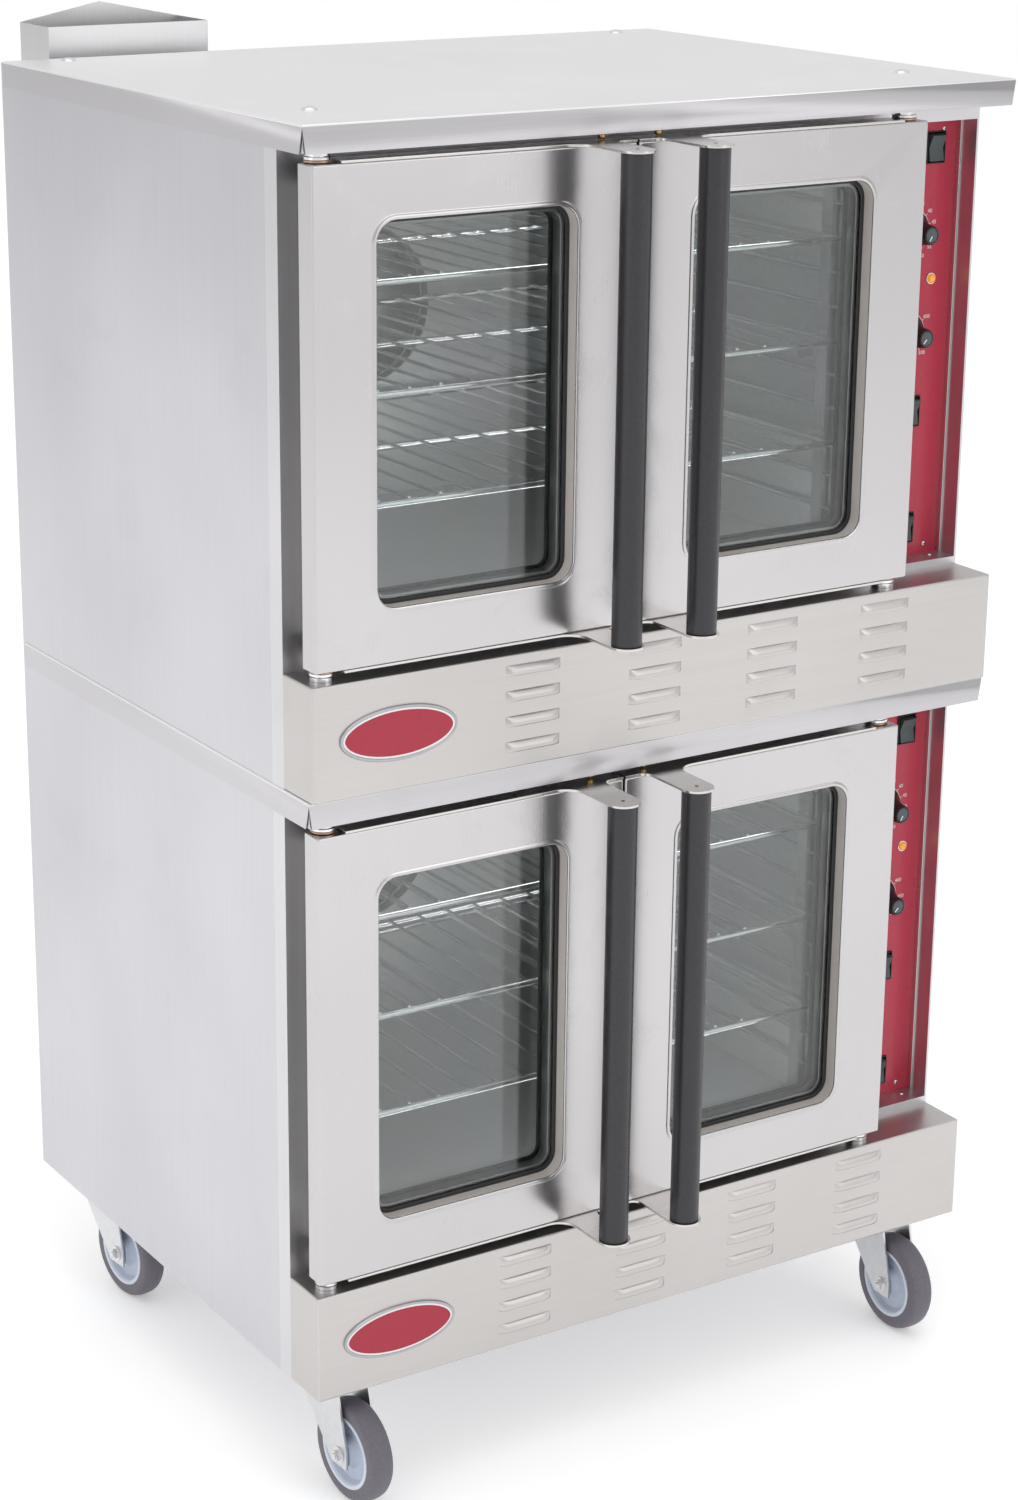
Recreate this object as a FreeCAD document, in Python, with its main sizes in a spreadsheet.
"""Double-deck full-size gas convection oven on casters: two ovens stacked, each with a pair of
independent glazed doors, a recessed control bay on the right and a louvred kick panel below.

Frame: X to the right, Y to the back, Z up. The origin is on the floor, at the middle of the
whole object's box. Millimetres.
"""
import FreeCAD, Part
import os
import re
import Sketcher

# Driving sizes, one value each. Sheet cells take them from here.
SIZES = {
    # whole oven
    "body_width": 965.0,
    "body_depth": 704.5,
    "caster_height": 152.0,
    "deck_height": 740.5,
    "sheet": 1.5,
    "fit": 0.05,
    # lid of each deck
    "lid_flange": 31.0,
    "lid_front": 59.5,
    "lid_lap": 0.3,
    "lid_setback": 7.0,
    "plug_radius": 9.0,
    "plug_stem": 5.0,
    "plug_height": 4.0,
    "plug_inset_side": 74.0,
    "plug_inset_front": 60.0,
    "plug_inset_rear": 36.0,
    # front frame and kick panel
    "post_return": 27.0,
    "header_step": 1.2,
    "kick_height": 134.5,
    "kick_depth": 66.0,
    "louvre_length": 74.0,
    "louvre_radius": 6.0,
    "louvre_bulge": 4.0,
    "louvre_slot": 5.0,
    "louvre_low": 26.0,
    "louvre_rise": 30.2,
    "louvre_start": 287.5,
    "louvre_pitch": 170.3,
    "badge_length": 152.0,
    "badge_height": 64.0,
    "badge_thick": 3.0,
    "badge_inset": 110.0,
    # doors
    "door_inset": 7.5,
    "door_width": 411.5,
    "door_height": 551.0,
    "door_lift": 13.0,
    "meeting_gap": 3.0,
    "door_proud": 62.0,
    "shell_depth": 29.0,
    "liner_inset": 22.0,
    "gasket_thick": 6.0,
    "gasket_width": 12.0,
    "gasket_gap": 0.5,
    "window_side": 78.0,
    "window_width": 256.0,
    "window_height": 425.0,
    "window_radius": 24.0,
    "pane": 4.0,
    "pane_set": 18.0,
    "inner_pane_set": 14.0,
    # hinges
    "hinge_side": 19.0,
    "hinge_ahead": 40.0,
    "pin_radius": 5.0,
    "pin_reach": 15.0,
    "bush_radius": 13.0,
    "bush_gap": 1.0,
    "boss_radius": 11.0,
    "boss_height": 22.0,
    # handles
    "handle_reach": 72.0,
    "handle_side": 52.0,
    "handle_radius": 17.5,
    "handle_wall": 3.5,
    "bracket": 3.0,
    "bracket_start": 36.0,
    "flag_rim": 3.0,
    # spring catches under the header
    "catch_side": 38.0,
    "catch_ahead": 45.0,
    "catch_radius": 4.5,
    "catch_head": 7.0,
    "catch_gap": 0.5,
    # control bay, on the right of the doors
    "bay_gap": 1.5,
    "bay_edge": 3.0,
    "panel_recess": 34.0,
    "panel_thick": 2.0,
    "panel_low": 9.0,
    "panel_high": 22.0,
    "knob_inset": 66.0,
    "knob_radius": 25.0,
    "knob_nose": 13.0,
    "knob_height": 40.0,
    "knob_gap": 0.5,
    "skirt_height": 4.8,
    "grip_root": 12.0,
    "grip_flare": 4.0,
    "knob_round": 2.0,
    "shaft_radius": 3.0,
    "shaft_back": 20.0,
    "timer_up": 552.0,
    "thermostat_up": 426.0,
    "lamp_inset": 32.0,
    "lamp_up": 492.0,
    "lamp_radius": 6.5,
    "mode_inset": 35.0,
    "mode_up": 652.0,
    "light_inset": 55.0,
    "light_up": 328.0,
    "speed_inset": 56.0,
    "speed_up": 179.5,
    "rocker_half_width": 11.0,
    "rocker_half_height": 16.0,
    "rocker_proud": 7.0,
    "rocker_deep": 4.5,
    "rocker_tilt": 8.0,
    "rocker_gap": 2.0,
    "rocker_hollow": 4.8,
    "bezel_rim": 1.5,
    "bezel_proud": 2.5,
    "switch_depth": 22.0,
    # oven cavity and what is in it
    "cavity_side_inset": 45.0,
    "cavity_edge_inset": 22.0,
    "cavity_depth": 640.0,
    "insulation": 25.0,
    "baffle_depth": 560.0,
    "baffle_side_gap": 25.0,
    "baffle_eye": 105.0,
    "rung_share": 0.0819,
    "first_rung_share": 0.1026,
    "guide_side": 9.0,
    "guide_rod": 3.0,
    "strip_width": 20.0,
    "rack_rest": 1.0,
    "rack_rod": 4.0,
    "rack_wire": 2.2,
    "rack_side": 16.0,
    "rack_front": 22.0,
    "rack_rear": 25.0,
    "wire_pitch": 41.0,
    # blower
    "blower_radius": 130.0,
    "blower_depth": 52.0,
    "blower_gap": 10.0,
    "blade_length": 26.0,
    "motor_shaft": 6.0,
    "shaft_hole": 10.0,
    "motor_radius": 70.0,
    "motor_flange": 82.0,
    "motor_back": 95.0,
    "motor_gap": 12.0,
    # back of the oven
    "hole_play": 1.0,
    "cover_half": 90.0,
    "cover_rise": 130.0,
    "rear_cover_depth": 130.0,
    "flue_inset": 82.0,
    "flue_width": 224.0,
    "flue_gap": 39.0,
    "flue_depth": 85.0,
    "flue_rim": 34.0,
    "flue_gable": 22.0,
    "flue_sink": 20.0,
    "riser_height": 420.0,
    # gas
    "gas_radius": 13.35,
    "gas_neck": 10.7,
    "gas_side": 130.0,
    "gas_up": 70.0,
    "gas_stub": 45.0,
    "burner_radius": 19.0,
    "burner_pitch": 210.0,
    "burner_up": 72.0,
    "burner_front": 60.0,
    "burner_length": 470.0,
    # casters
    "caster_left": 57.0,
    "caster_right": 76.0,
    "caster_front": 8.0,
    "caster_rear": 104.0,
    "plate_half": 46.0,
    "plate_thick": 4.0,
    "race_gap": 0.4,
    "fork_thick": 3.0,
    "fork_top": 34.0,
    "fork_side_gap": 4.0,
    "fork_foot": 15.0,
    "kingpin_radius": 7.0,
    "trail": 38.0,
    "wheel_radius": 63.5,
    "wheel_width": 32.0,
    "hub_radius": 46.0,
    "axle_radius": 6.0,
    "swivel_front_left": 4.5,
    "swivel_front_right": -1.5,
    "swivel_rear_left": 6.5,
    "swivel_rear_right": -5.0,
}

# Places worked out from the sizes. A word here may use other words of this list.
PLACES = {
    "left": "-body_width / 2",
    "right": "body_width / 2",
    "flag_radius": "handle_radius + flag_rim",
    "front_reach": "door_proud + handle_reach + flag_radius",
    "rear": "(body_depth + front_reach - rear_cover_depth) / 2",
    "front": "rear - body_depth",
    "kick_front": "front - kick_depth",
    "door_front": "front - door_proud",
    "door_back": "door_front + shell_depth",
    "liner_back": "front - gasket_thick - gasket_gap",
    "doors_left": "left + door_inset",
    "meeting": "doors_left + door_width + meeting_gap / 2",
    "doors_right": "doors_left + 2 * door_width + meeting_gap",
    "door_low": "kick_height + door_lift",
    "door_high": "door_low + door_height",
    "header_low": "deck_height - lid_flange + header_step",
    "header_front": "front - lid_front + sheet + lid_lap",
    "hinge_y": "front - hinge_ahead",
    "handle_y": "door_front - handle_reach",
    "cavity_width": "2 * door_width + meeting_gap - 2 * cavity_side_inset",
    "cavity_height": "door_height - 2 * cavity_edge_inset",
    "cavity_low": "door_low + cavity_edge_inset",
    "cavity_high": "cavity_low + cavity_height",
    "cavity_left": "meeting - cavity_width / 2",
    "cavity_right": "meeting + cavity_width / 2",
    "cavity_back": "front + cavity_depth",
    "baffle_y": "front + baffle_depth",
    "fan_up": "cavity_low + cavity_height / 2",
    "bay_left": "doors_right + bay_gap",
    "bay_right": "right - bay_edge",
    "panel_y": "front + panel_recess",
    "panel_bottom": "kick_height + panel_low",
    "panel_top": "deck_height - lid_flange - panel_high",
    "guide_left": "cavity_left + guide_side",
    "guide_right": "cavity_right - guide_side",
    "guide_pitch": "rung_share * cavity_height",
    "guide_low": "first_rung_share * cavity_height",
    "rack_low": "guide_low + 2 * guide_pitch + rack_rest",
    "rack_pitch": "3 * guide_pitch",
    "riser_left": "left + flue_inset",
    "riser_right": "left + flue_inset + flue_width",
    "riser_back": "rear + flue_gap + flue_depth",
    "fork_half": "wheel_width / 2 + fork_side_gap",
    "plate_low": "caster_height - plate_thick",
    "fork_high": "plate_low - race_gap",
}

DECKS = {"lower": "caster_height", "upper": "caster_height + deck_height"}
SWITCHES = {
    "mode": ("mode_inset", "mode_up"),
    "light": ("light_inset", "light_up"),
    "speed": ("speed_inset", "speed_up"),
}
KNOBS = {"timer": "timer_up", "thermostat": "thermostat_up"}
RACKS_PER_DECK = 3
RUNGS = 10
LOUVRE_ROWS = 4
LOUVRE_GROUPS = 4
BURNERS = 3
BLADES = 24

doc = FreeCAD.newDocument("ConvectionOven")
sheet = doc.addObject("Spreadsheet::Sheet", "Sizes")
for row, (word, value) in enumerate(SIZES.items(), start=1):
    sheet.set(f"A{row}", word)
    sheet.set(f"B{row}", str(value))
    sheet.setAlias(f"B{row}", word)
doc.recompute()
NODES = {}


# ---- how sizes reach the shapes ----
def bound(formula):
    """The formula with every size read from the sheet and every place written out."""

    def written_out(match):
        word = match.group(0)
        if word in SIZES:
            return f"Sizes.{word}"
        return f"({bound(PLACES[word])})" if word in PLACES else word

    return re.sub(r"[a-z]\w*", written_out, str(formula))


def number(formula):
    """What the formula comes to now."""
    return float(sheet.evalExpression(bound(formula)))


def tie(thing, **formulas):
    """Binds properties of an object to formulas; x, y and z are its place."""
    for name, formula in formulas.items():
        path = f"Placement.Base.{name}" if name in ("x", "y", "z") else name
        thing.setExpression(path, bound(formula))
    return thing


def node(label, thing):
    """Names a finished sub-part."""
    thing.Label = label
    NODES[label] = thing


# ---- simple solids ----
def block(x, y, z):
    """A box between two formulas on each axis."""
    solid = doc.addObject("Part::Box", "Block")
    tie(solid, x=x[0], y=y[0], z=z[0])
    return tie(
        solid,
        Length=f"({x[1]}) - ({x[0]})",
        Width=f"({y[1]}) - ({y[0]})",
        Height=f"({z[1]}) - ({z[0]})",
    )


TURNS = {
    "Z": FreeCAD.Rotation(),
    "Y": FreeCAD.Rotation(FreeCAD.Vector(1, 0, 0), -90),
    "X": FreeCAD.Rotation(FreeCAD.Vector(0, 1, 0), 90),
}


def rod(x, y, z, radius, length, along="Z"):
    """A round bar from its foot (x, y, z) towards +X, +Y or +Z."""
    solid = doc.addObject("Part::Cylinder", "Rod")
    solid.Placement = FreeCAD.Placement(FreeCAD.Vector(), TURNS[along])
    tie(solid, x=x, y=y, z=z)
    return tie(solid, Radius=radius, Height=length)


def fuse(*parts):
    solid = doc.addObject("Part::MultiFuse", "Fusion")
    solid.Shapes = list(parts)
    return solid


def cut(base, *tools):
    solid = doc.addObject("Part::Cut", "Cut")
    solid.Base = base
    solid.Tool = tools[0] if len(tools) == 1 else fuse(*tools)
    return solid


def group(*parts):
    """Separate solids that share a node."""
    solids = doc.addObject("Part::Compound", "Group")
    solids.Links = list(parts)
    return solids


def round_slab(x, y, z, radius):
    """A slab that faces Y, with its four corners rounded."""
    parts = [
        block((f"{x[0]} + {radius}", f"{x[1]} - {radius}"), y, z),
        block(x, y, (f"{z[0]} + {radius}", f"{z[1]} - {radius}")),
    ]
    for px in (f"{x[0]} + {radius}", f"{x[1]} - {radius}"):
        for pz in (f"{z[0]} + {radius}", f"{z[1]} - {radius}"):
            parts.append(rod(px, y[0], pz, radius, f"({y[1]}) - ({y[0]})", "Y"))
    slab = fuse(*parts)
    slab.Refine = True
    return slab


def tray(x, y, z, openings=()):
    """A closed sheet-metal box, open only at the faces named, such as 'y0' for its front."""
    inner = []
    for axis, span in (("x", x), ("y", y), ("z", z)):
        low = f"{span[0]} - 1" if f"{axis}0" in openings else f"{span[0]} + sheet"
        high = f"{span[1]} + 1" if f"{axis}1" in openings else f"{span[1]} - sheet"
        inner.append((low, high))
    return cut(block(x, y, z), block(*inner))


# ---- turned and cut-out solids ----
def outline(body, role, points):
    """A closed polygon on one of the body's own planes, every corner bound to the sheet."""
    plane = next(f for f in body.Origin.OriginFeatures if f.Role == role)
    drawing = body.newObject("Sketcher::SketchObject", "Outline")
    drawing.AttachmentSupport = [(plane, "")]
    drawing.MapMode = "FlatFace"
    corners = [FreeCAD.Vector(number(across), number(up), 0) for across, up in points]
    for n, corner in enumerate(corners):
        drawing.addGeometry(Part.LineSegment(corner, corners[(n + 1) % len(corners)]), False)
    for n in range(len(corners)):
        drawing.addConstraint(Sketcher.Constraint("Coincident", n, 2, (n + 1) % len(corners), 1))
    for n, (across, up) in enumerate(points):
        for kind, axis, formula, value in (
            ("DistanceX", -2, across, corners[n].x),
            ("DistanceY", -1, up, corners[n].y),
        ):
            if formula == "0":
                drawing.addConstraint(Sketcher.Constraint("PointOnObject", n, 1, axis))
            else:
                index = drawing.addConstraint(Sketcher.Constraint(kind, -1, 1, n, 1, value))
                drawing.setExpression(f"Constraints[{index}]", bound(formula))
    return drawing


def turned(profile, x, y, z, rotation=None):
    """A body of revolution: (radius, distance along the axis) points turned about local Z."""
    body = doc.addObject("PartDesign::Body", "Turned")
    drawing = outline(body, "XZ_Plane", profile)
    spin = body.newObject("PartDesign::Revolution", "Revolution")
    spin.Profile = drawing
    spin.ReferenceAxis = (drawing, ["V_Axis"])
    spin.Angle = 360
    body.Placement = FreeCAD.Placement(FreeCAD.Vector(), rotation or FreeCAD.Rotation())
    return tie(body, x=x, y=y, z=z)


def cut_out(points, thick, x, y, z, role="XZ_Plane"):
    """A flat blank of the given outline and thickness, midway about its own plane."""
    body = doc.addObject("PartDesign::Body", "Blank")
    pad = body.newObject("PartDesign::Pad", "Pad")
    pad.Profile = outline(body, role, points)
    pad.Midplane = True
    tie(pad, Length=thick)
    return tie(body, x=x, y=y, z=z)


FACE_FRONT = FreeCAD.Rotation(FreeCAD.Vector(1, 0, 0), 90)  # local Z towards the front, -Y
ABOUT_X = FreeCAD.Rotation(FreeCAD.Vector(1, 0, 0), 1)  # its angle is bound to the sheet afterwards


# ---- casing ----
def cabinet(base):
    """Side panels and floor pan, one bent sheet behind the corner posts."""
    walls = tray(
        ("left", "right"),
        ("front + post_return", "rear"),
        (base, f"{base} + deck_height - sheet"),
        ("y0", "y1", "z1"),
    )
    apron = block(
        ("left + sheet", "right - sheet"),
        ("front + sheet", "front + post_return + sheet"),
        (base, f"{base} + sheet"),
    )
    return fuse(walls, apron)


def lid(base, plugged):
    """The deck's top sheet, flanged down at the front and both sides."""
    high = f"{base} + deck_height"
    shell = tray(
        ("left - lid_lap - sheet", "right + lid_lap + sheet"),
        ("front - lid_front", "rear - lid_setback"),
        (f"{high} - lid_flange", high),
        ("y1", "z0"),
    )
    if not plugged:
        return shell
    holes = [rod(x, y, f"{high} - 2 * sheet", "plug_stem", "3 * sheet") for x, y in plug_places()]
    return cut(shell, *holes)


def plug_places():
    return [
        (x, y)
        for x in ("left + plug_inset_side", "right - plug_inset_side")
        for y in ("front + plug_inset_front", "rear - plug_inset_rear")
    ]


def lid_plug(x, y, high):
    """A domed cap snapped into a lid hole."""
    profile = [
        ("0", "-2 * sheet"),
        ("plug_stem", "-2 * sheet"),
        ("plug_stem", "0"),
        ("plug_radius", "0"),
        ("plug_radius * 0.8", "plug_height * 0.7"),
        ("plug_radius * 0.4", "plug_height"),
        ("0", "plug_height"),
    ]
    return turned(profile, x, y, high)


def front_frame(base):
    """Face plate round the cavity and the control bay, corner posts, header and bay lining."""
    high = f"{base} + deck_height - sheet"
    plate = block(("left", "right"), ("front", "front + sheet"), (base, high))
    posts = [
        block(x, ("front", "front + post_return"), (base, high))
        for x in (("left", "left + sheet"), ("right - sheet", "right"))
    ]
    header = block(("left", "right"), ("header_front", "front"), (f"{base} + header_low", high))
    header_room = block(
        ("left + sheet", "right - sheet"),
        ("header_front + sheet", "front + 2 * sheet"),
        (f"{base} + header_low + sheet", f"{high} - sheet"),
    )
    bay = (f"{base} + panel_bottom", f"{base} + panel_top")
    lining = block(
        ("bay_left - sheet", "bay_right + sheet"),
        ("front", "panel_y + panel_thick"),
        (f"{bay[0]} - sheet", f"{bay[1]} + sheet"),
    )
    bay_room = block(("bay_left", "bay_right"), ("front - 1", "panel_y + panel_thick + 1"), bay)
    mouth = block(
        ("cavity_left", "cavity_right"),
        ("front - 1", "front + sheet + 1"),
        (f"{base} + cavity_low", f"{base} + cavity_high"),
    )
    holes = [
        rod(x, "hinge_y", f"{base} + header_low - 1", "pin_radius", "sheet + 2") for x in hinge_places()
    ]
    holes += [
        rod(x, "front - catch_ahead", f"{base} + header_low - 1", "catch_radius + fit", "sheet + 2")
        for x in catch_places().values()
    ]
    return cut(fuse(plate, header, lining, *posts), header_room, bay_room, mouth, *holes)


def kick_panel(base):
    """The bent panel below the doors, with its pressed louvres and the shelf the hinges stand on."""
    shell = tray(("left", "right"), ("kick_front", "front"), (base, f"{base} + kick_height"), ("y1",))
    hoods = []
    slots = [
        rod(x, "hinge_y", f"{base} + kick_height - 2 * sheet", "pin_radius", "3 * sheet")
        for x in hinge_places()
    ]
    for column in range(LOUVRE_GROUPS):
        x = f"left + louvre_start + {column} * louvre_pitch"
        for line in range(LOUVRE_ROWS):
            z = f"{base} + louvre_low + {line} * louvre_rise"
            start = f"{x} - louvre_length / 2"
            axis = "kick_front + louvre_radius - louvre_bulge"
            hoods.append(rod(start, axis, z, "louvre_radius", "louvre_length", "X"))
            slots.append(
                block(
                    (f"{start} + sheet", f"{x} + louvre_length / 2 - sheet"),
                    ("kick_front - louvre_radius", "kick_front + louvre_radius"),
                    (f"{z} - louvre_radius - 1", f"{z} - louvre_radius + louvre_slot"),
                )
            )
    return cut(fuse(shell, *hoods), *slots)


def badge(base):
    """The oval plate on the kick panel."""
    rim = doc.addObject("Part::Ellipse", "Oval")
    tie(rim, MajorRadius="badge_length / 2", MinorRadius="badge_height / 2")
    plate = doc.addObject("Part::Extrusion", "OvalPlate")
    plate.Base = rim
    plate.DirMode = "Normal"
    plate.Solid = True
    tie(plate, LengthFwd="badge_thick")
    plate.Placement = FreeCAD.Placement(FreeCAD.Vector(), FACE_FRONT)
    return tie(plate, x="left + badge_inset", y="kick_front", z=f"{base} + kick_height / 2")


def rear_panel(base):
    """The back sheet between the side panels, with the motor's hole."""
    plate = block(
        ("left + sheet", "right - sheet"),
        ("rear - sheet", "rear"),
        (f"{base} + sheet", f"{base} + deck_height - sheet"),
    )
    inside = "rear - 2 * sheet"
    motor_hole = rod("meeting", inside, f"{base} + fan_up", "motor_radius + hole_play", "4 * sheet", "Y")
    gas_hole = rod("right - gas_side", inside, f"{base} + gas_up", "gas_neck + hole_play", "4 * sheet", "Y")
    return cut(plate, motor_hole, gas_hole)


def motor_cover(base):
    """The box over the motor at the back."""
    return tray(
        ("meeting - cover_half", "meeting + cover_half"),
        ("rear", "rear + rear_cover_depth"),
        (f"{base} + fan_up - cover_rise", f"{base} + fan_up + cover_rise"),
        ("y0",),
    )


def flue_stack(base):
    """The riser behind the upper oven and the open flue box on top of it, gabled at the back."""
    high = f"{base} + deck_height"
    joint = f"{high} - flue_sink"
    mouth = ("rear + flue_gap", "riser_back")
    riser = tray(("riser_left", "riser_right"), ("rear", "riser_back"), (f"{joint} - riser_height", joint))
    throat = block(
        ("riser_left + sheet", "riser_right - sheet"),
        (f"{mouth[0]} + sheet", f"{mouth[1]} - sheet"),
        (f"{joint} - 2 * sheet", f"{joint} + 1"),
    )
    box = tray(("riser_left", "riser_right"), mouth, (joint, f"{high} + flue_rim"), ("z0", "z1"))
    gable = cut_out(
        [("-flue_width / 2", "0"), ("flue_width / 2", "0"), ("0", "flue_gable")],
        "sheet",
        "riser_left + flue_width / 2",
        "riser_back - sheet / 2",
        f"{high} + flue_rim",
    )
    return group(cut(riser, throat), fuse(box, gable))


# ---- doors ----
def hinge_places():
    return ("doors_left + hinge_side", "doors_right - hinge_side")


def catch_places():
    return {"left": "meeting - catch_side", "right": "meeting + catch_side"}


def door_span(side):
    if side == "left":
        return "doors_left", "doors_left + door_width"
    return "doors_right - door_width", "doors_right"


def window_span(side):
    if side == "left":
        return "doors_left + window_side", "doors_left + window_side + window_width"
    return "doors_right - window_side - window_width", "doors_right - window_side"


def door(base, side):
    """Hollow door: outer tray, inset liner, a sleeve round the window and hinge bosses."""
    x = door_span(side)
    z = (f"{base} + door_low", f"{base} + door_high")
    inset_x = (f"{x[0]} + liner_inset", f"{x[1]} - liner_inset")
    inset_z = (f"{z[0]} + liner_inset", f"{z[1]} - liner_inset")
    shell = block(x, ("door_front", "door_back"), z)
    liner = block(inset_x, ("door_back", "liner_back"), inset_z)
    shell_room = block(
        (f"{x[0]} + sheet", f"{x[1]} - sheet"),
        ("door_front + sheet", "door_back - sheet"),
        (f"{z[0]} + sheet", f"{z[1]} - sheet"),
    )
    liner_room = block(
        (f"{inset_x[0]} + sheet", f"{inset_x[1]} - sheet"),
        ("door_back - 2 * sheet", "liner_back - sheet"),
        (f"{inset_z[0]} + sheet", f"{inset_z[1]} - sheet"),
    )
    window_x = window_span(side)
    window_z = window_heights(base)
    sleeve = round_slab(
        (f"{window_x[0]} - sheet", f"{window_x[1]} + sheet"),
        ("door_front", "liner_back"),
        (f"{window_z[0]} - sheet", f"{window_z[1]} + sheet"),
        "(window_radius + sheet)",
    )
    window = round_slab(window_x, ("door_front - 1", "liner_back + 1"), window_z, "window_radius")
    pivot = hinge_places()[side == "right"]
    bosses = [
        rod(pivot, "hinge_y", z[0], "boss_radius", "boss_height"),
        rod(pivot, "hinge_y", f"{z[1]} - boss_height", "boss_radius", "boss_height"),
    ]
    bores = [
        rod(pivot, "hinge_y", f"{z[0]} - 1", "pin_radius + fit", "pin_reach + 2"),
        rod(pivot, "hinge_y", f"{z[1]} - pin_reach - 1", "pin_radius + fit", "pin_reach + 2"),
    ]
    skins = cut(fuse(shell, liner), shell_room, liner_room)
    panel = cut(fuse(skins, sleeve, *bosses), window, *bores)
    return group(panel, bracket(side, f"{z[0]} - bracket"), bracket(side, z[1]))


def window_heights(base):
    middle = f"{base} + door_low + door_height / 2"
    return f"{middle} - window_height / 2", f"{middle} + window_height / 2"


def handle_x(side):
    return "meeting - handle_side" if side == "left" else "meeting + handle_side"


def bracket(side, foot):
    """The flat plate along the door's top or bottom edge, whose flag holds the handle."""
    x = door_span(side)
    run = (f"{x[0]} + bracket_start", x[1]) if side == "left" else (x[0], f"{x[1]} - bracket_start")
    z = (foot, f"{foot} + bracket")
    plate = block(run, ("door_front", "door_back"), z)
    stem = (f"{handle_x(side)} - flag_radius", f"{handle_x(side)} + flag_radius")
    flag = block(stem, ("handle_y", "door_front"), z)
    return fuse(plate, flag, rod(handle_x(side), "handle_y", foot, "flag_radius", "bracket"))


def door_glass(base, side):
    """Outer and inner panes, held in the window's sleeve."""
    panes = []
    for near in ("door_front + pane_set", "liner_back - inner_pane_set - pane"):
        depth = (near, f"{near} + pane")
        panes.append(round_slab(window_span(side), depth, window_heights(base), "window_radius"))
    return group(*panes)


def handle(base, side):
    """The black tube between the two brackets."""
    foot = f"{base} + door_low"
    tube = rod(handle_x(side), "handle_y", foot, "handle_radius", "door_height")
    inside = "handle_radius - handle_wall"
    return cut(tube, rod(handle_x(side), "handle_y", f"{foot} - 1", inside, "door_height + 2"))


def hinge_pins(base):
    """Shouldered pins: one stands on the kick panel's shelf, one hangs from the header."""
    pins = []
    low_gap = "door_lift - bush_gap"
    high_gap = "header_low - door_high - bush_gap"
    for x in hinge_places():
        pins.append(
            turned(
                [
                    ("0", "-sheet"),
                    ("pin_radius", "-sheet"),
                    ("pin_radius", "0"),
                    ("bush_radius", "0"),
                    ("bush_radius", low_gap),
                    ("pin_radius", low_gap),
                    ("pin_radius", "door_lift + pin_reach"),
                    ("0", "door_lift + pin_reach"),
                ],
                x,
                "hinge_y",
                f"{base} + kick_height",
            )
        )
        pins.append(
            turned(
                [
                    ("0", "sheet"),
                    ("pin_radius", "sheet"),
                    ("pin_radius", "0"),
                    ("bush_radius", "0"),
                    ("bush_radius", f"-({high_gap})"),
                    ("pin_radius", f"-({high_gap})"),
                    ("pin_radius", "door_high - pin_reach - header_low"),
                    ("0", "door_high - pin_reach - header_low"),
                ],
                x,
                "hinge_y",
                f"{base} + header_low",
            )
        )
    return pins


def catch(base, side):
    """A sprung plunger that hangs through the header over the door's bracket."""
    tip = "door_high + bracket + catch_gap - header_low"
    profile = [
        ("0", tip),
        ("catch_radius / 2", tip),
        ("catch_radius", f"{tip} + catch_radius / 2"),
        ("catch_radius", "sheet + catch_gap"),
        ("catch_head", "sheet + catch_gap"),
        ("catch_head", "sheet + catch_head"),
        ("0", "sheet + catch_head"),
    ]
    return turned(profile, catch_places()[side], "front - catch_ahead", f"{base} + header_low")


def gasket(base):
    """The rope seal round the cavity's mouth."""
    z = (f"{base} + cavity_low", f"{base} + cavity_high")
    outer = block(
        ("cavity_left - gasket_width", "cavity_right + gasket_width"),
        ("front - gasket_thick", "front"),
        (f"{z[0]} - gasket_width", f"{z[1]} + gasket_width"),
    )
    return cut(outer, block(("cavity_left", "cavity_right"), ("front - gasket_thick - 1", "front + 1"), z))


# ---- controls ----
def switch_room(inset, up, base, grow, y):
    x = f"bay_right - {inset}"
    z = f"{base} + {up}"
    wide = f"rocker_half_width + {grow}"
    tall = f"rocker_half_height + {grow}"
    return block((f"{x} - ({wide})", f"{x} + {wide}"), y, (f"{z} - ({tall})", f"{z} + {tall}"))


def control_panel(base):
    """The coloured plate at the back of the control bay."""
    plate = block(
        ("bay_left", "bay_right"),
        ("panel_y", "panel_y + panel_thick"),
        (f"{base} + panel_bottom", f"{base} + panel_top"),
    )
    through = ("panel_y - 1", "panel_y + panel_thick + 1")
    holes = []
    for inset, up in SWITCHES.values():
        holes.append(switch_room(inset, up, base, "rocker_gap + bezel_rim", through))
    rounds = [("knob_inset", up, "shaft_radius + fit") for up in KNOBS.values()]
    rounds.append(("lamp_inset", "lamp_up", "lamp_radius"))
    for inset, up, radius in rounds:
        x = f"bay_right - {inset}"
        holes.append(rod(x, through[0], f"{base} + {up}", radius, "panel_thick + 2", "Y"))
    return cut(plate, *holes)


def switch_body(base, inset, up):
    """A rocker switch's housing, snapped into the panel."""
    outside = ("panel_y - bezel_proud", "panel_y + switch_depth")
    inside = ("panel_y - bezel_proud - 1", "panel_y + 3 * rocker_deep")
    housing = switch_room(inset, up, base, "rocker_gap + bezel_rim", outside)
    return cut(housing, switch_room(inset, up, base, "rocker_gap", inside))


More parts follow.
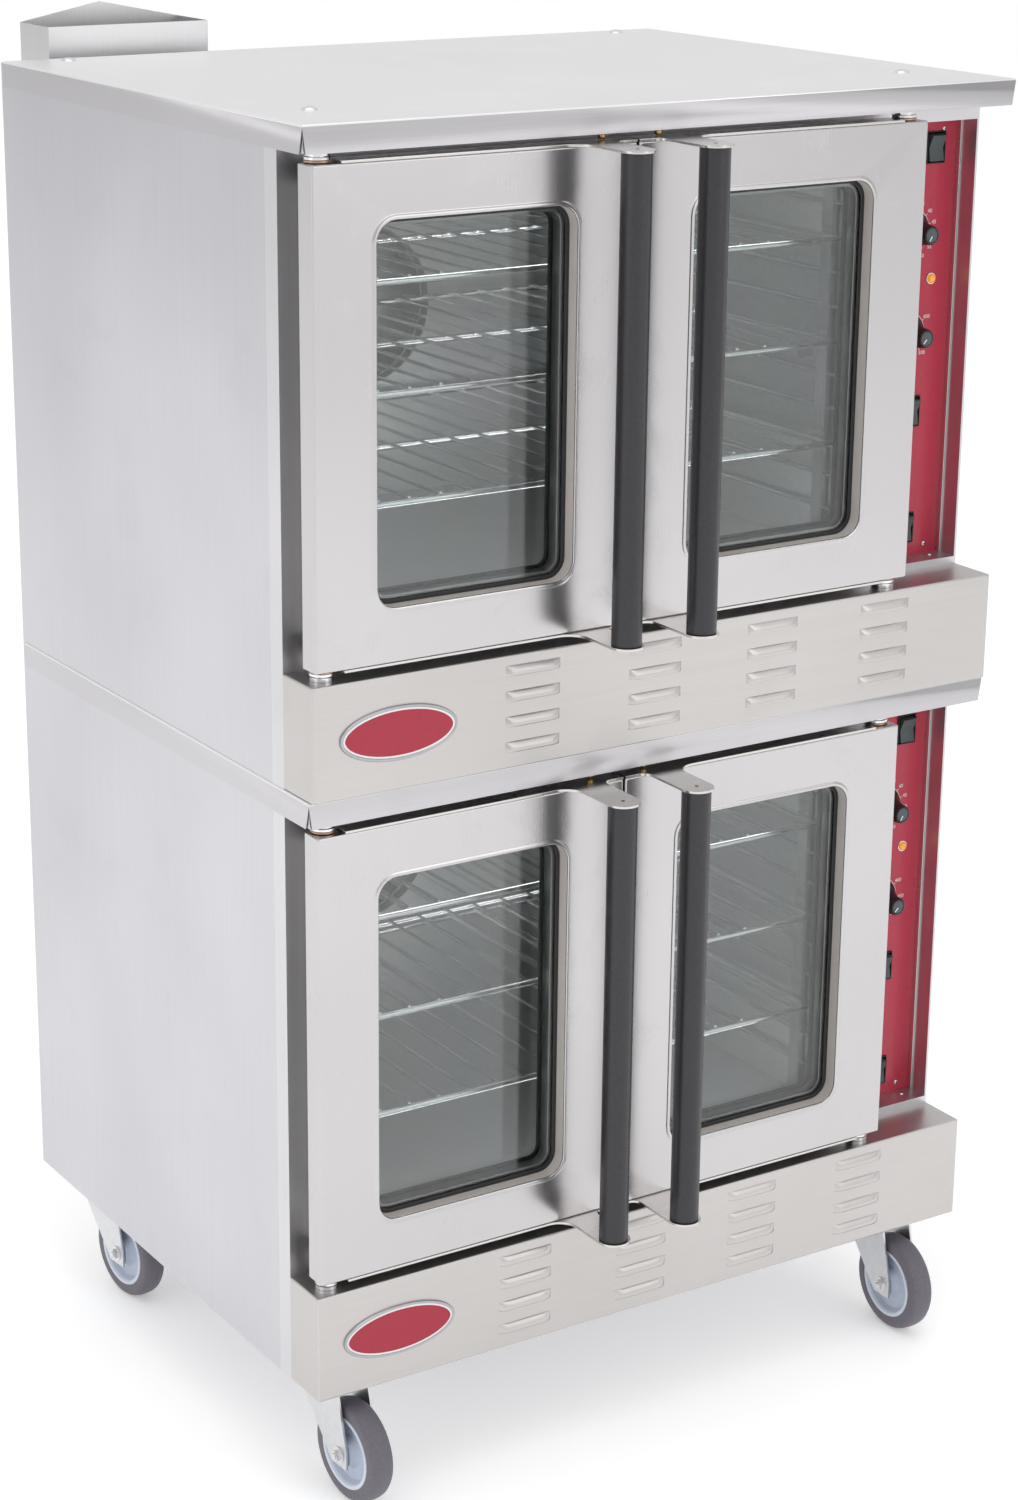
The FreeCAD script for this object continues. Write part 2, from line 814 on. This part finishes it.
def rocker(base, inset, up):
    """The switch's rocking button, resting on one side."""
    body = cut_out(
        [
            ("-rocker_proud", "-rocker_half_height"),
            ("rocker_deep", "-rocker_half_height"),
            ("rocker_deep", "rocker_half_height"),
            ("-rocker_proud", "rocker_half_height"),
            ("rocker_hollow - rocker_proud", "0"),
        ],
        "2 * rocker_half_width",
        f"bay_right - {inset}",
        "panel_y",
        f"{base} + {up}",
        "YZ_Plane",
    )
    body.Placement = FreeCAD.Placement(FreeCAD.Vector(), ABOUT_X)
    tie(body, x=f"bay_right - {inset}", y="panel_y", z=f"{base} + {up}")
    body.setExpression("Placement.Rotation.Angle", bound("rocker_tilt * 1 deg"))
    return body


def knob(base, up):
    """Skirted knob on its own shaft through the panel."""
    profile = [
        ("0", "-shaft_back"),
        ("shaft_radius", "-shaft_back"),
        ("shaft_radius", "knob_gap"),
        ("knob_radius", "knob_gap"),
        ("knob_radius", "skirt_height"),
        ("knob_nose + grip_flare", "grip_root"),
        ("knob_nose", "knob_height - knob_round"),
        ("knob_nose - knob_round / 2", "knob_height"),
        ("0", "knob_height"),
    ]
    return turned(profile, "bay_right - knob_inset", "panel_y", f"{base} + {up}", FACE_FRONT)


def lamp(base):
    """The pilot lamp's lens and barrel."""
    profile = [
        ("0", "-3 * lamp_radius"),
        ("lamp_radius", "-3 * lamp_radius"),
        ("lamp_radius", "lamp_radius * 0.4"),
        ("lamp_radius * 0.7", "lamp_radius * 0.7"),
        ("0", "lamp_radius * 0.8"),
    ]
    return turned(profile, "bay_right - lamp_inset", "panel_y", f"{base} + lamp_up", FACE_FRONT)


# ---- oven cavity and what is in it ----
def cavity(base):
    """The oven's lining, open at the front, with the motor shaft's hole in its back."""
    lining = tray(
        ("cavity_left - sheet", "cavity_right + sheet"),
        ("front + sheet", "cavity_back"),
        (f"{base} + cavity_low - sheet", f"{base} + cavity_high + sheet"),
        ("y0",),
    )
    hole = rod("meeting", "cavity_back - 2 * sheet", f"{base} + fan_up", "shaft_hole", "4 * sheet", "Y")
    return cut(lining, hole)


def insulation(base):
    """Mineral wool wrapped round the lining."""
    outer = block(
        ("cavity_left - sheet - insulation", "cavity_right + sheet + insulation"),
        ("front + 2 * sheet", "cavity_back"),
        (f"{base} + cavity_low - sheet - insulation", f"{base} + cavity_high + sheet + insulation"),
    )
    room = block(
        ("cavity_left - sheet", "cavity_right + sheet"),
        ("front", "cavity_back + 1"),
        (f"{base} + cavity_low - sheet", f"{base} + cavity_high + sheet"),
    )
    return cut(outer, room)


def baffle(base):
    """The plate in front of the blower; air leaves round its sides."""
    plate = block(
        ("cavity_left + baffle_side_gap", "cavity_right - baffle_side_gap"),
        ("baffle_y", "baffle_y + sheet"),
        (f"{base} + cavity_low", f"{base} + cavity_high"),
    )
    return cut(plate, rod("meeting", "baffle_y - 1", f"{base} + fan_up", "baffle_eye", "sheet + 2", "Y"))


RACK_DEEP = "baffle_depth - rack_front - rack_rear"


def rack_guide(base, x):
    """Two upright strips joined by rungs, hung on a cavity wall."""
    parts = []
    for y in ("front + rack_front + strip_width", "baffle_y - 3 * strip_width"):
        parts.append(
            block(
                (f"{x} - guide_rod", f"{x} + guide_rod"),
                (y, f"{y} + strip_width"),
                (f"{base} + cavity_low", f"{base} + cavity_high"),
            )
        )
    for step in range(RUNGS):
        z = f"{base} + cavity_low + guide_low + {step} * guide_pitch"
        parts.append(rod(x, "front + rack_front", z, "guide_rod", RACK_DEEP, "Y"))
    return fuse(*parts)


def rack(base, level):
    """A wire shelf: heavy frame rods with lighter wires from front to back."""
    z = f"{base} + cavity_low + rack_low + {level} * rack_pitch"
    x0 = "cavity_left + rack_side"
    x1 = "cavity_right - rack_side"
    y0 = "front + rack_front"
    wide = "cavity_width - 2 * rack_side"
    parts = [rod(x, y0, z, "rack_rod", RACK_DEEP, "Y") for x in (x0, x1)]
    for share in ("0", "0.5", "1"):
        parts.append(rod(x0, f"{y0} + {share} * ({RACK_DEEP})", z, "rack_rod", wide, "X"))
    wires = int(number(f"({wide}) / wire_pitch / 2"))
    for step in range(-wires, wires + 1):
        across = f"meeting + {step} * wire_pitch"
        parts.append(rod(across, y0, f"{z} + rack_rod", "rack_wire", RACK_DEEP, "Y"))
    return fuse(*parts)


def blower(base):
    """Squirrel-cage wheel: back disc with hub, a ring of blades and a front ring."""
    body = doc.addObject("PartDesign::Body", "Blower")
    disc = outline(
        body,
        "XZ_Plane",
        [
            ("motor_shaft + fit", "-blower_depth / 2"),
            ("3 * motor_shaft", "-blower_depth / 2"),
            ("3 * motor_shaft", "-2 * sheet"),
            ("blower_radius", "-2 * sheet"),
            ("blower_radius", "0"),
            ("motor_shaft + fit", "0"),
        ],
    )
    spin = body.newObject("PartDesign::Revolution", "Disc")
    spin.Profile = disc
    spin.ReferenceAxis = (disc, ["V_Axis"])
    spin.Angle = 360
    ring = outline(
        body,
        "XZ_Plane",
        [
            ("blower_radius - blade_length", "-blower_depth"),
            ("blower_radius", "-blower_depth"),
            ("blower_radius", "2 * sheet - blower_depth"),
            ("blower_radius - blade_length", "2 * sheet - blower_depth"),
        ],
    )
    blade = outline(
        body,
        "XY_Plane",
        [
            ("blower_radius - blade_length + sheet", "2 * sheet"),
            ("blower_radius - 2 * sheet", "4 * sheet"),
            ("blower_radius - 2 * sheet", "5 * sheet"),
            ("blower_radius - blade_length + sheet", "3 * sheet"),
        ],
    )
    tie(blade, **{"AttachmentOffset.Base.z": "-sheet"})
    pad = body.newObject("PartDesign::Pad", "Blade")
    pad.Profile = blade
    pad.Reversed = True
    tie(pad, Length="blower_depth - 2 * sheet")
    spread = body.newObject("PartDesign::PolarPattern", "Blades")
    spread.Originals = [pad]
    spread.Axis = (blade, ["N_Axis"])
    spread.Angle = 360
    spread.Occurrences = BLADES
    body.Tip = spread
    rim = body.newObject("PartDesign::Revolution", "FrontRing")
    rim.Profile = ring
    rim.ReferenceAxis = (ring, ["V_Axis"])
    rim.Angle = 360
    body.Tip = rim
    body.Placement = FreeCAD.Placement(FreeCAD.Vector(), TURNS["Y"])
    return tie(body, x="meeting", y="cavity_back - sheet - blower_gap", z=f"{base} + fan_up")


def motor(base):
    """The blower's motor, its flange on the back panel and its shaft through the lining."""
    z = f"{base} + fan_up"
    can_length = "rear + motor_back - cavity_back - motor_gap"
    can = rod("meeting", "cavity_back + motor_gap", z, "motor_radius", can_length, "Y")
    flange = rod("meeting", "rear", z, "motor_flange", "2 * sheet", "Y")
    shaft = rod(
        "meeting",
        "cavity_back - sheet - blower_gap - blower_depth / 2",
        z,
        "motor_shaft",
        "sheet + blower_gap + blower_depth / 2 + motor_gap + 1",
        "Y",
    )
    return fuse(can, flange, shaft)


def gas_line(base):
    """Burner tubes under the lining on their stands, and the inlet pipe out of the back."""
    parts = []
    for n in range(BURNERS):
        x = f"meeting + {n - (BURNERS - 1) / 2} * burner_pitch"
        tube = rod(x, "front + burner_front", f"{base} + burner_up", "burner_radius", "burner_length", "Y")
        stands = [
            block(
                (f"{x} - burner_radius / 2", f"{x} + burner_radius / 2"),
                (y, f"{y} + 2 * sheet"),
                (f"{base} + sheet", f"{base} + burner_up"),
            )
            for y in ("front + 2 * burner_front", "front + burner_front / 2 + burner_length")
        ]
        parts.append(fuse(tube, *stands))
    z = f"{base} + gas_up"
    pipe = rod("right - gas_side", "rear - 3 * gas_stub", z, "gas_neck", "3 * gas_stub", "Y")
    stub = rod("right - gas_side", "rear", z, "gas_radius", "gas_stub", "Y")
    valve = block(
        ("right - gas_side - 2 * gas_radius", "right - gas_side + 2 * gas_radius"),
        ("rear - 4 * gas_stub", "rear - 2 * gas_stub"),
        (f"{base} + sheet", f"{z} + 2 * gas_radius"),
    )
    parts.append(fuse(pipe, stub, valve))
    return parts


# ---- casters ----
CASTERS = {
    "front_left": ("left + caster_left", "front - caster_front"),
    "front_right": ("right - caster_right", "front - caster_front"),
    "rear_left": ("left + caster_left", "rear - caster_rear"),
    "rear_right": ("right - caster_right", "rear - caster_rear"),
}


def caster_plate(x, y):
    """Mounting plate with the kingpin the fork turns on."""
    plate = block(
        (f"{x} - plate_half", f"{x} + plate_half"),
        (f"{y} - plate_half", f"{y} + plate_half"),
        ("plate_low", "caster_height"),
    )
    kingpin = rod(x, y, "fork_high - 2 * fork_thick", "kingpin_radius", "2 * fork_thick + race_gap + 1")
    return fuse(plate, kingpin)


def swivelled(thing, corner):
    """Turns a caster piece about its kingpin, to where that caster stands."""
    x, y = CASTERS[corner]
    tie(thing, x=x, y=y, z="0")
    thing.setExpression("Placement.Rotation.Angle", bound(f"swivel_{corner} * 1 deg"))
    return thing


def caster_fork(corner):
    """Crown, two legs and the axle, drawn about the kingpin with the wheel trailing forward."""
    crown = cut(
        block(
            ("-fork_half - fork_thick", "fork_half + fork_thick"),
            ("-fork_top", "fork_top"),
            ("fork_high - fork_thick", "fork_high"),
        ),
        rod("0", "0", "fork_high - 2 * fork_thick", "kingpin_radius + fit", "3 * fork_thick"),
    )
    legs = [
        cut_out(
            [
                ("-fork_top", "fork_high"),
                ("-trail - fork_foot", "wheel_radius + fork_foot / 2"),
                ("-trail - fork_foot", "wheel_radius - fork_foot"),
                ("fork_foot - trail", "wheel_radius - fork_foot"),
                ("fork_top", "fork_high - wheel_radius / 2"),
                ("fork_top", "fork_high"),
            ],
            "fork_thick",
            f"{sign} * (fork_half + fork_thick / 2)",
            "0",
            "0",
            "YZ_Plane",
        )
        for sign in (-1, 1)
    ]
    axle = rod(
        "-fork_half - 3 * fork_thick",
        "-trail",
        "wheel_radius",
        "axle_radius",
        "2 * (fork_half + 3 * fork_thick)",
        "X",
    )
    return swivelled(fuse(crown, axle, *legs), corner)


def caster_wheel(corner):
    """Hub and tyre, running on the axle."""
    hub = turned(
        [
            ("axle_radius + fit", "-wheel_width / 2 - fork_side_gap / 2"),
            ("3 * axle_radius", "-wheel_width / 2 - fork_side_gap / 2"),
            ("3 * axle_radius", "-wheel_width / 4"),
            ("hub_radius - 4", "-wheel_width / 4"),
            ("hub_radius - 4", "-wheel_width / 2 + 1"),
            ("hub_radius", "-wheel_width / 2 + 1"),
            ("hub_radius", "wheel_width / 2 - 1"),
            ("hub_radius - 4", "wheel_width / 2 - 1"),
            ("hub_radius - 4", "wheel_width / 4"),
            ("3 * axle_radius", "wheel_width / 4"),
            ("3 * axle_radius", "wheel_width / 2 + fork_side_gap / 2"),
            ("axle_radius + fit", "wheel_width / 2 + fork_side_gap / 2"),
        ],
        "0",
        "-trail",
        "wheel_radius",
        TURNS["X"],
    )
    tyre = turned(
        [
            ("hub_radius", "-wheel_width / 2"),
            ("wheel_radius - 6", "-wheel_width / 2"),
            ("wheel_radius", "-wheel_width / 4"),
            ("wheel_radius", "wheel_width / 4"),
            ("wheel_radius - 6", "wheel_width / 2"),
            ("hub_radius", "wheel_width / 2"),
        ],
        "0",
        "-trail",
        "wheel_radius",
        TURNS["X"],
    )
    return swivelled(group(hub, tyre), corner)


# ---- the oven put together ----
shared = {
    "front_frames": front_frame,
    "kick_panels": kick_panel,
    "control_panels": control_panel,
    "fan_baffles": baffle,
    "fan_motors": motor,
    "door_gaskets": gasket,
    "insulation_blankets": insulation,
    "badges": badge,
    "indicator_lamps": lamp,
}
for label, maker in shared.items():
    node(label, group(*[maker(base) for base in DECKS.values()]))

for deck, base in DECKS.items():
    node(f"{deck}_cabinet", cabinet(base))
    node(f"{deck}_lid", lid(base, plugged=deck == "upper"))
    node(f"{deck}_cavity", cavity(base))
    node(f"{deck}_blower_wheel", blower(base))
    for side in ("left", "right"):
        node(f"{deck}_{side}_door", door(base, side))
        node(f"{deck}_{side}_door_glass", door_glass(base, side))
        node(f"{deck}_{side}_handle", handle(base, side))
        node(f"{deck}_{side}_catch", catch(base, side))
    for name, up in KNOBS.items():
        node(f"{deck}_{name}_knob", knob(base, up))
    for name, (inset, up) in SWITCHES.items():
        node(f"{deck}_{name}_rocker", rocker(base, inset, up))

bases = DECKS.values()
node("switch_bodies", group(*[switch_body(base, *place) for base in bases for place in SWITCHES.values()]))
node("oven_racks", group(*[rack(base, level) for base in bases for level in range(RACKS_PER_DECK)]))
node("rack_guides", group(*[rack_guide(base, x) for base in bases for x in ("guide_left", "guide_right")]))
node("rear_covers", group(*[cover(base) for base in bases for cover in (rear_panel, motor_cover)]))
node("hinge_pins", group(*[pin for base in bases for pin in hinge_pins(base)]))
node("gas_lines", group(*[piece for base in bases for piece in gas_line(base)]))
node("flue_stack", flue_stack(DECKS["upper"]))
top = f"{DECKS['upper']} + deck_height"
node("lid_plugs", group(*[lid_plug(x, y, top) for x, y in plug_places()]))

node("caster_plates", group(*[caster_plate(x, y) for x, y in CASTERS.values()]))
for corner in CASTERS:
    node(f"{corner}_fork", caster_fork(corner))
    node(f"{corner}_wheel", caster_wheel(corner))

doc.recompute()

for thing in doc.Objects:
    if "Invalid" in thing.State or "Error" in thing.State:
        raise RuntimeError(f"{thing.Name} ({thing.Label}) failed: {thing.State}")
for label, thing in NODES.items():
    if thing.Shape.isNull() or not thing.Shape.isValid():
        raise RuntimeError(f"{label} has no valid shape")

os.makedirs("parts", exist_ok=True)
for label, thing in NODES.items():
    thing.Shape.exportStep(f"parts/{label}.step")
print(len(NODES), "sub-parts written")
